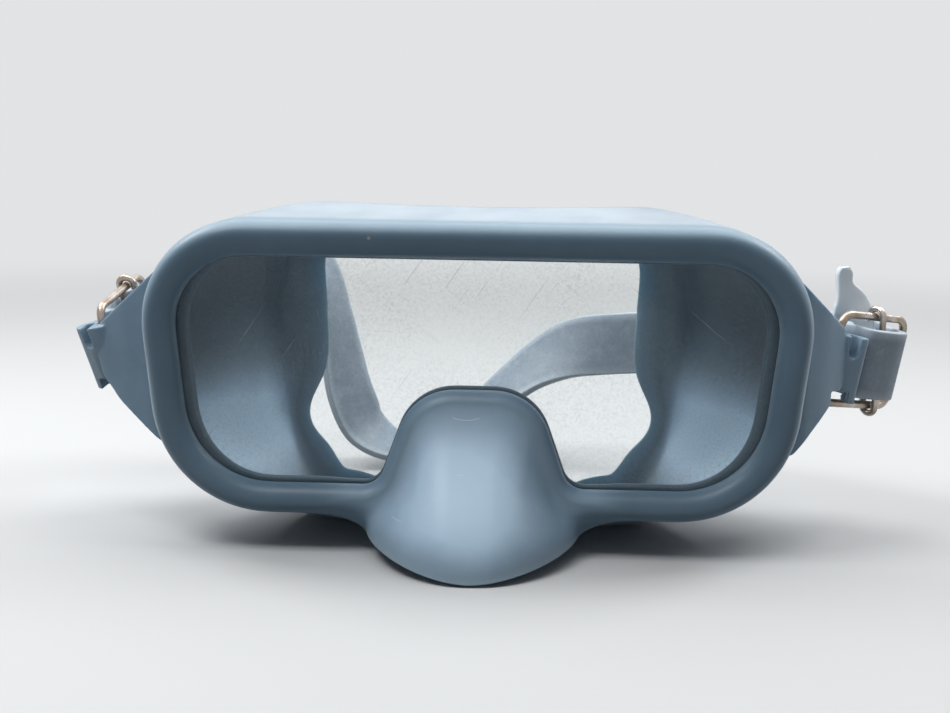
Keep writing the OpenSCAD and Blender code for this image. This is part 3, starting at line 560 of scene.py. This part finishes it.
RIGHT_TAIL = placed_steps((
    ((5.0, 15, 24.8), (1, 0.2, 0), TONGUE_W * 0.6), ((5.1, 15, 23.2), (1, 0.2, 0), TONGUE_W * 0.9),
    ((5.4, 15, 19.8), (1, 0.2, 0.05), TONGUE_W), ((7.2, 15, 15.2), (0.95, 0.15, 0.35), STRAP_W * 0.5),
    ((8.1, 15, 10.8), (0.85, -0.08, 0.5), STRAP_W * 0.6),
    ((7.3, 15, 5.4), (0.5, -0.12, 0.85), STRAP_W * 0.84),
    ((6.3, 12.2, 1.2), (0.18, 0, 0.98), STRAP_W)), (EAR_X[RIGHT], EAR_Y[RIGHT], EAR_Z))
LEFT_TAIL = [place_in_buckle(q, UP, width, LEFT) for q, width in (
    ((38.0, 10.0, 0), TONGUE_W * 0.6), ((36.5, 10.2, 0), TONGUE_W), ((30.5, 10.6, 0), TONGUE_W * 1.2),
    ((24.5, 10.6, 0), STRAP_W * 0.8), ((17.0, 10.4, 0), STRAP_W), ((10.8, 9.6, 0), STRAP_W),
    ((PASS_IN + 0.5, 7.0, 0), STRAP_W))]
LOOP = placed_steps([(q, across, STRAP_W) for q, across in (
    ((106, 23, 48.5), UP), ((96, 33, 47.5), UP), ((82, 42, 46), UP), ((66, 50, 44.5), UP), ((52, 57, 43), UP),
    ((39, 64, 41), (-0.05, 0.15, 1)), ((27, 68.5, 38.5), (-0.15, 0.5, 0.85)),
    ((17, 72, 33), (-0.3, 0.8, 0.5)), ((8, 74, 25.5), (-0.35, 0.88, 0.25)),
    ((-2, 75, 16), (-0.35, 0.92, 0.15)), ((-14, 73.5, 8), (-0.1, 0.98, 0.12)),
    ((-26, 69, 6), (0.3, 0.95, 0.1)), ((-36.5, 65, 12), (0.55, 0.83, 0)), ((-42, 63, 23), (0.6, 0.8, 0)),
    ((-45, 64, 36), (0.5, 0.87, 0)), ((-47.5, 66, 49), (0.35, 0.94, 0)), ((-51, 69, 60), (0.2, 0.95, 0.2)),
    ((-58, 70, 67), (0.05, 0.75, 0.65)), ((-65, 67, 67.5), (0, 0.35, 0.93)), ((-75, 58, 63.5), (0, 0.1, 1)),
    ((-82.5, 46, 58), UP), ((-87, 34, 53), (-0.15, -0.1, 1)))], (0, EAR_Y[RIGHT], 0))
THREADED = threading(RIGHT)
ROUTE = RIGHT_TAIL + THREADED + LOOP + threading(LEFT)[::-1] + LEFT_TAIL[::-1]
# The step, in the loop behind the mask, at which the band is parted into a half for each buckle
HALVES_MEET = len(RIGHT_TAIL) + len(THREADED) + 10


def between(i, part, t):
    """The route's place, direction across or width (part 0, 1 or 2), a share t of the way on from step i."""
    a, b, c, d = (ROUTE[min(len(ROUTE) - 1, max(0, k))][part] for k in (i - 1, i, i + 1, i + 2))
    return (2 * b + (c - a) * t + (2 * a - 5 * b + 4 * c - d) * t * t + (3 * b - a - 3 * c + d) * t ** 3) / 2


def strap_section(n_side=7, r=0.55):
    """Places round the strap's section: from -1 to 1 across and through, and how far the rounded corners
    draw in from there, in millimetres."""
    rows = []
    for sx, sy, start in ((1, -1, -90), (1, 1, 0), (-1, 1, 90), (-1, -1, 180)):
        for k in range(4):
            a = math.radians(start + 30 * k)
            rows.append((sx, sy, (math.cos(a) - sx) * r, (math.sin(a) - sy) * r))
        if sx == sy:
            for k in range(1, n_side):
                rows.append((mix(sx, -sx, k / n_side), sy, 0, 0))
    return rows


def strap_rows(first, last, steps):
    section = strap_section()
    rows = []
    for j in range((last - first) * steps + 1):
        i, t = first + j // steps, (j % steps) / steps
        ahead = unit(between(i, 0, t + 0.02) - between(i, 0, t - 0.02))
        across = between(i, 1, t)
        across = unit(across - ahead * (across @ ahead))
        face = np.cross(across, ahead)
        middle, half = between(i, 0, t), between(i, 2, t) / 2
        rows.append([middle + across * (q[0] * half + q[2]) + face * (q[1] * STRAP_T / 2 + q[3])
                     for q in section])
    return rows


def capped_run(rows, cap_start, cap_end):
    n, m = len(rows), len(rows[0])
    faces = [(i * m + j, i * m + (j + 1) % m, (i + 1) * m + (j + 1) % m, (i + 1) * m + j)
             for i in range(n - 1) for j in range(m)]
    if cap_start:
        faces.append(tuple(range(m))[::-1])
    if cap_end:
        faces.append(tuple(range((n - 1) * m, n * m)))
    return [q for row in rows for q in row], faces


def make_strap(name, first, last, cap_start, cap_end):
    """The band from one step of its route to another, with a painted highlight along its rounded edges and
    toward both tongues.
    """
    rows = strap_rows(first, last, 8)
    verts, faces = capped_run(rows, cap_start, cap_end)
    obj = make_object(name, verts, faces)
    section = strap_section()
    # Painted highlight along the band's rounded edges
    rim = [1.0 if (q[2] or q[3]) else 0.0 for q in section]
    point_values(obj, "thin_and_highlight", rim * len(rows))
    # Painted highlight, paler toward both tongues
    far = [ease((6.2 - min(k, len(ROUTE) - 1 - k)) / 3) for k in np.linspace(first, last, len(rows))]
    point_values(obj, "painted_light", np.repeat(far, len(section)))
    return obj


# Materials
BLACK, WHITE = (0, 0, 0), (1, 1, 1)
PALE = (0.76, 0.77, 0.78, 1)
# Scratches on the nose pocket: x, z and radius of the arc, and half the width that it spans, in millimetres
MARKS = ((-1.8, 46.0, 10.0, 3.4), (-2.6, 30.0, 6.0, 0.8), (-18.5, 21.0, 9.0, 1.4))
MARK_HALF_T = 0.13


def new_material(name):
    material = bpy.data.materials.new(name)
    material.use_nodes = True
    tree = material.node_tree
    tree.nodes.clear()
    return material, tree


def node(tree, kind, inputs=None, **settings):
    made = tree.nodes.new(kind)
    for key, value in settings.items():
        setattr(made, key, value)
    for key, value in (inputs or {}).items():
        if isinstance(value, bpy.types.NodeSocket):
            tree.links.new(value, made.inputs[key])
        else:
            made.inputs[key].default_value = value
    return made


def ramp(tree, source, stops):
    made = node(tree, "ShaderNodeValToRGB", {"Fac": source})
    elements = made.color_ramp.elements
    while len(elements) < len(stops):
        elements.new(0.5)
    for element, (position, colour) in zip(elements, stops):
        element.position = position
        element.color = (*colour, 1)
    return made.outputs["Color"]


def maths(tree, operation, a, b=0.0, clamp=False):
    return node(tree, "ShaderNodeMath", {0: a, 1: b}, operation=operation, use_clamp=clamp).outputs[0]


def scaled(tree, value, gain, offset):
    return maths(tree, "ADD", maths(tree, "MULTIPLY", value, gain), offset)


def shader_mix(tree, fac, a, b):
    return node(tree, "ShaderNodeMixShader", {0: fac, 1: a.outputs[0], 2: b.outputs[0]})


def colour_mix(tree, fac, a, b):
    made = node(tree, "ShaderNodeMix", {"Factor": fac}, data_type="RGBA")
    for socket, value in ((made.inputs[6], a), (made.inputs[7], b)):
        if isinstance(value, bpy.types.NodeSocket):
            tree.links.new(value, socket)
        else:
            socket.default_value = (*value, 1)
    return made.outputs[2]


def weighted(tree, fac, share, a, b):
    """Colour a with b laid over it, by this factor times this share."""
    return colour_mix(tree, maths(tree, "MULTIPLY", fac, share, True), a, b)


def stored(tree, name):
    """A value kept on the mesh's points."""
    return node(tree, "ShaderNodeAttribute", attribute_name=name).outputs["Fac"]


def place(tree):
    return node(tree, "ShaderNodeTexCoord").outputs["Object"]


def noise(tree, vector, scale, detail, roughness):
    return node(tree, "ShaderNodeTexNoise",
                {"Vector": vector, "Scale": scale, "Detail": detail, "Roughness": roughness}).outputs["Fac"]


def bump(tree, height, strength, distance, normal=None):
    inputs = {"Height": height, "Strength": strength, "Distance": distance}
    if normal is not None:
        inputs["Normal"] = normal
    return node(tree, "ShaderNodeBump", inputs).outputs["Normal"]


def finish_material(tree, surface):
    node(tree, "ShaderNodeOutputMaterial", {"Surface": surface.outputs[0]})


def arc_mark(tree, at, x, z, r, half_width):
    """A short curved scratch on the front: the lowest part of a circle round x and z, in millimetres."""
    part = node(tree, "ShaderNodeSeparateXYZ", {"Vector": at}).outputs
    away_x = maths(tree, "SUBTRACT", part[0], x * MM)
    away_z = maths(tree, "SUBTRACT", part[2], z * MM)
    squares = [maths(tree, "MULTIPLY", away, away) for away in (away_x, away_z)]
    off_line = maths(tree, "SUBTRACT", maths(tree, "SQRT", maths(tree, "ADD", *squares)), r * MM)
    mark = maths(tree, "LESS_THAN", maths(tree, "ABSOLUTE", off_line), MARK_HALF_T * MM)
    for value, limit in ((maths(tree, "ABSOLUTE", away_x), half_width * MM), (away_z, 0.0), (part[1], 0.0)):
        mark = maths(tree, "MULTIPLY", mark, maths(tree, "LESS_THAN", value, limit))
    return maths(tree, "MULTIPLY", mark, 0.7)


def dust_specks(tree, at):
    """Small round specks in a few of the cells of an even scatter."""
    cells = node(tree, "ShaderNodeTexVoronoi", {"Vector": at, "Scale": 150.0, "Randomness": 1.0}).outputs
    dot = maths(tree, "LESS_THAN", cells["Distance"], 0.07)
    draw = node(tree, "ShaderNodeSeparateColor", {"Color": cells["Color"]}).outputs[0]
    return maths(tree, "MULTIPLY", dot, maths(tree, "GREATER_THAN", draw, 0.93))


def rubber_material():
    """Slate blue moulded rubber: cloudy tone, dust specks and scratches, with painted highlights on the
    edges, the bead's outer side, the pocket and the skirt's top, painted shade inside and next to the lens,
    and painted light on the lower inner walls.
    """
    material, tree = new_material("moulded_rubber")
    at = place(tree)
    cloud = noise(tree, at, 34, 4, 0.55)
    fine = noise(tree, at, 420, 5, 0.6)
    thin_and_highlight = stored(tree, "thin_and_highlight")
    base = ramp(tree, cloud, ((0.30, (0.105, 0.195, 0.290)), (0.52, (0.150, 0.260, 0.370)),
                              (0.75, (0.205, 0.330, 0.450))))
    base = weighted(tree, fine, 0.22, base, (0.34, 0.44, 0.53))
    # Painted shade: the inner walls, flange, lens groove and the rim next to the lens are darker
    base = weighted(tree, stored(tree, "inside"), 0.74, base, (0.050, 0.095, 0.125))
    # Painted highlight on the edges, the parting line, the flange's tip and the bead's outer side
    base = weighted(tree, thin_and_highlight, 0.48, base, (0.52, 0.66, 0.74))
    # Painted light on the lower inner walls and a painted highlight on the pocket, patchy with the cloud
    base = weighted(tree, stored(tree, "painted_light"), scaled(tree, cloud, 1.5, 0.80), base, (0.59, 0.79, 0.98))
    # Painted highlight on the skirt's top, patchy with the cloud
    base = weighted(tree, stored(tree, "top_highlight"), maths(tree, "ADD", cloud, 0.4), base, (0.84, 0.88, 0.90))
    base = weighted(tree, dust_specks(tree, at), 0.7, base, (0.46, 0.44, 0.38))
    for mark in MARKS:
        base = colour_mix(tree, arc_mark(tree, at, *mark), base, (0.78, 0.86, 0.90))
    rough = scaled(tree, fine, 0.10, scaled(tree, noise(tree, at, 12, 3, 0.5), 0.14, 0.36))
    grain = bump(tree, noise(tree, at, 1500, 3, 0.6), 0.10, 0.0002)
    normal = bump(tree, noise(tree, at, 95, 3, 0.5), 0.18, 0.0009, grain)
    surface = node(tree, "ShaderNodeBsdfPrincipled", {
        "Base Color": base, "Roughness": rough, "Normal": normal, "IOR": 1.5,
        "Specular IOR Level": 0.5, "Coat Weight": 0.16, "Coat Roughness": 0.28,
        "Sheen Weight": 0.40, "Sheen Roughness": 0.35, "Sheen Tint": (0.80, 0.91, 1.0, 1),
        "Subsurface Weight": 0.16, "Subsurface Scale": 0.004, "Subsurface Radius": (0.45, 0.75, 1.0)})
    glow = node(tree, "ShaderNodeBsdfTranslucent", {"Color": (0.30, 0.47, 0.58, 1), "Normal": normal})
    finish_material(tree, shader_mix(tree, scaled(tree, thin_and_highlight, 0.12, 0.10), surface, glow))
    return material


def strap_material():
    """Paler rubber band with a chalky, rubbed face, and a painted highlight on its rounded edges and toward
    both tongues.
    """
    material, tree = new_material("strap_rubber")
    at = place(tree)
    cloud = noise(tree, at, 55, 5, 0.6)
    dust = noise(tree, at, 300, 6, 0.7)
    base = ramp(tree, cloud, ((0.30, (0.215, 0.270, 0.335)), (0.55, (0.270, 0.330, 0.400)),
                              (0.78, (0.340, 0.400, 0.470))))
    base = colour_mix(tree, ramp(tree, dust, ((0.50, BLACK), (0.72, (0.55, 0.55, 0.55)))), base,
                      (0.46, 0.50, 0.53))
    # Painted highlight on the rounded edges
    base = weighted(tree, stored(tree, "thin_and_highlight"), 0.55, base, (0.60, 0.68, 0.74))
    # Painted highlight toward both tongues
    base = weighted(tree, stored(tree, "painted_light"), 0.92, base, (0.88, 0.94, 0.98))
    finish_material(tree, node(tree, "ShaderNodeBsdfPrincipled", {
        "Base Color": base, "Roughness": scaled(tree, dust, 0.25, 0.38), "IOR": 1.5,
        "Normal": bump(tree, noise(tree, at, 900, 4, 0.6), 0.16, 0.0002),
        "Subsurface Weight": 0.12, "Subsurface Scale": 0.003, "Subsurface Radius": (0.5, 0.8, 1.0)}))
    return material


def wire_material():
    """Tarnished plated wire: warm brown film in patches over dull grey metal, with fine pitting."""
    material, tree = new_material("tarnished_wire")
    at = place(tree)
    film = noise(tree, at, 160, 5, 0.6)
    pits = noise(tree, at, 1300, 3, 0.6)
    base = ramp(tree, film, ((0.36, (0.52, 0.47, 0.43)), (0.52, (0.40, 0.33, 0.27)),
                             (0.70, (0.23, 0.17, 0.13))))
    base = colour_mix(tree, ramp(tree, pits, ((0.62, BLACK), (0.75, (0.8, 0.8, 0.8)))), base,
                      (0.12, 0.10, 0.08))
    finish_material(tree, node(tree, "ShaderNodeBsdfPrincipled", {
        "Base Color": base, "Metallic": 0.92, "Roughness": scaled(tree, film, 0.35, 0.14),
        "Normal": bump(tree, pits, 0.22, 0.0001)}))
    return material


def scratches(tree, at, turn, scale, low, high):
    """Hairline scratches that all run one way: a noise that is drawn out along them."""
    stretched = node(tree, "ShaderNodeMapping", {"Vector": at, "Rotation": (0.0, turn, 0.0), "Scale": scale},
                     vector_type="TEXTURE")
    return ramp(tree, noise(tree, stretched.outputs[0], 1.0, 2, 0.5), ((low, BLACK), (high, WHITE)))


def lens_material():
    """Clear panel that passes light, with a clear reflection, a film of dust and hairline scratches."""
    material, tree = new_material("worn_clear_lens")
    at = place(tree)
    front = maths(tree, "SUBTRACT", 1.0, node(tree, "ShaderNodeNewGeometry").outputs["Backfacing"])
    fresnel = maths(tree, "MULTIPLY", node(tree, "ShaderNodeFresnel", {"IOR": 1.33}).outputs[0], front)
    dust_cloud = noise(tree, at, 26, 4, 0.6)
    dust_fine = noise(tree, at, 1300, 6, 0.8)
    dust = maths(tree, "MULTIPLY", ramp(tree, dust_cloud, ((0.35, (0.2, 0.2, 0.2)), (0.7, WHITE))),
                 ramp(tree, dust_fine, ((0.46, BLACK), (0.66, WHITE))))
    scratch = maths(tree, "ADD", scratches(tree, at, 0.6, (0.0005, 1.0, 0.040), 0.700, 0.735),
                    scratches(tree, at, -0.9, (0.0004, 1.0, 0.030), 0.705, 0.74), True)
    film = scaled(tree, scratch, 0.26, scaled(tree, dust, 0.24, 0.005))
    clear = node(tree, "ShaderNodeBsdfTransparent", {"Color": (0.965, 0.98, 0.98, 1)})
    shine = node(tree, "ShaderNodeBsdfGlossy", {"Color": (1, 1, 1, 1), "Roughness": 0.06})
    powder = node(tree, "ShaderNodeBsdfDiffuse", {"Color": (0.55, 0.58, 0.58, 1)})
    finish_material(tree, shader_mix(tree, film, shader_mix(tree, fresnel, clear, shine), powder))
    return material


def seen_ray(tree):
    """Whether the ray shows something: straight to the camera, or by a reflection or through the lens."""
    path = node(tree, "ShaderNodeLightPath").outputs
    by_object = maths(tree, "ADD", path["Is Glossy Ray"], path["Is Transmission Ray"])
    return maths(tree, "ADD", path["Is Camera Ray"], by_object, True)


def floor_material():
    """Pale floor that keeps the shadow near the object and turns into the plain backdrop away from it."""
    material, tree = new_material("pale_floor")
    at = place(tree)
    tone = ramp(tree, noise(tree, at, 3, 3, 0.5), ((0.3, (0.56, 0.565, 0.57)), (0.7, (0.59, 0.595, 0.60))))
    thrown_back = node(tree, "ShaderNodeLightPath").outputs["Is Diffuse Ray"]
    tone = colour_mix(tree, thrown_back, tone, (0.20, 0.205, 0.21))
    surface = node(tree, "ShaderNodeBsdfPrincipled", {"Base Color": tone, "Roughness": 0.75})
    far = node(tree, "ShaderNodeEmission", {"Color": PALE, "Strength": 1.0})
    distance = node(tree, "ShaderNodeVectorMath", {0: at}, operation="LENGTH").outputs["Value"]
    share = node(tree, "ShaderNodeMapRange", {"Value": distance, "From Min": 0.22, "From Max": 0.75},
                 interpolation_type="SMOOTHSTEP").outputs[0]
    finish_material(tree, shader_mix(tree, maths(tree, "MULTIPLY", share, seen_ray(tree)), surface, far))
    return material


def paint(obj, material):
    obj.data.materials.clear()
    obj.data.materials.append(material)


rubber, strap_rubber, wire, clear_lens = rubber_material(), strap_material(), wire_material(), lens_material()

body = make_body()
paint(body, rubber)
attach(body, "mask")
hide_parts("mask_body")
for name, side in (("ear_right", RIGHT), ("ear_left", LEFT)):
    ear = make_ear(name, side)
    paint(ear, rubber)
    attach(ear, "mask")

paint(nodes["lens"], clear_lens)
for name in ("right_buckle_frame", "right_buckle_bar", "left_buckle_frame", "left_buckle_bar"):
    paint(nodes[name], wire)
    nodes[name].data.shade_smooth()

# Each half of the band, with its buckle, and the places start, where it leaves the other half, and end, where
# the buckle carries it
for name, first, last, cap_start, cap_end, buckle, start, end in (
        ("strap_right_half", 0, HALVES_MEET, True, False, "right_buckle", (60, 75, 45), (101, 46, 48)),
        ("strap_left_half", HALVES_MEET, len(ROUTE) - 1, False, True, "left_buckle", (-60, 88, 60),
         (-85, 58, 53))):
    half = make_strap(name, first, last, cap_start, cap_end)
    paint(half, strap_rubber)
    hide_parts("head_strap")
    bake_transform(half)

# Floor, light and camera
FLOOR_HALF_W, FLOOR_Z = 3000, -0.05
floor = make_object("floor", [(x * FLOOR_HALF_W, y * FLOOR_HALF_W, FLOOR_Z)
                              for x, y in ((-1, -1), (1, -1), (1, 1), (-1, 1))], [(0, 1, 2, 3)], smooth=False)
paint(floor, floor_material())

scene = bpy.context.scene
scene.view_settings.view_transform = "Standard"
world = bpy.data.worlds.new("studio")
scene.world = world
world.use_nodes = True
tree = world.node_tree
tree.nodes.clear()
backdrop = node(tree, "ShaderNodeBackground", {"Color": PALE, "Strength": 1.0})
room_light = node(tree, "ShaderNodeBackground", {"Color": (0.93, 0.96, 1.0, 1), "Strength": 0.10})
sky = shader_mix(tree, seen_ray(tree), room_light, backdrop)
node(tree, "ShaderNodeOutputWorld", {"Surface": sky.outputs[0]})


def area_light(name, at, towards, size, watts, colour):
    data = bpy.data.lights.new(name, "AREA")
    data.shape, data.size, data.size_y, data.energy, data.color = "RECTANGLE", size[0], size[1], watts, colour
    lamp = bpy.data.objects.new(name, data)
    scene.collection.objects.link(lamp)
    lamp.location = at
    lamp.visible_camera = False
    lamp.rotation_euler = (Vector(towards) - Vector(at)).to_track_quat("-Z", "Y").to_euler()


# Places and sizes in metres
WARM, COOL = (1.0, 0.995, 0.98), (0.97, 0.985, 1.0)
area_light("overhead", (0.0, 0.08, 0.62), (0.0, 0.081, 0), (0.8, 0.30), 2.2, WARM)
area_light("left_high", (-0.26, -0.15, 0.54), (-0.02, 0.0, 0.05), (0.24, 0.20), 1.2, COOL)
area_light("side_left", (-0.42, 0.20, 0.45), (0, 0.02, 0.03), (0.22, 0.22), 1.6, COOL)
area_light("side_right", (0.42, 0.20, 0.45), (0, 0.02, 0.03), (0.22, 0.22), 1.6, COOL)
area_light("rear_high", (0.0, 0.42, 0.42), (0, 0.03, 0.03), (0.8, 0.25), 0.6, COOL)
area_light("front_fill", (-0.05, -0.27, 0.68), (0, -0.01, 0.02), (0.22, 0.14), 0.45, COOL)

# The photograph's camera: its lens and picture width in pixels, its place in millimetres, and its turns
LENS_PX, PICTURE_PX, SENSOR_W = 1450.0, 950, 36
CAMERA_AWAY, CAMERA_HIGH = 364, 115.5
azimuth, pitch, roll = math.radians(2.0), math.radians(10.0), math.radians(0.9)
level = math.cos(pitch)
forward = Vector((-math.sin(azimuth) * level, math.cos(azimuth) * level, -math.sin(pitch)))
right = Vector((math.cos(azimuth), math.sin(azimuth), 0))
up = right.cross(forward)
rolled_right = right * math.cos(roll) + up * math.sin(roll)
rolled_up = up * math.cos(roll) - right * math.sin(roll)
stand = Matrix((rolled_right, rolled_up, -forward)).transposed().to_4x4()
at_camera = (CAMERA_AWAY * math.sin(azimuth), -CAMERA_AWAY * math.cos(azimuth), CAMERA_HIGH)
stand.translation = Vector(at_camera) * MM
camera_data = bpy.data.cameras.new("camera")
camera_data.sensor_width = SENSOR_W
camera_data.lens = LENS_PX / PICTURE_PX * SENSOR_W
camera_data.clip_start, camera_data.clip_end = 0.01, 20
camera = bpy.data.objects.new("camera", camera_data)
scene.collection.objects.link(camera)
camera.matrix_world = stand
scene.camera = camera
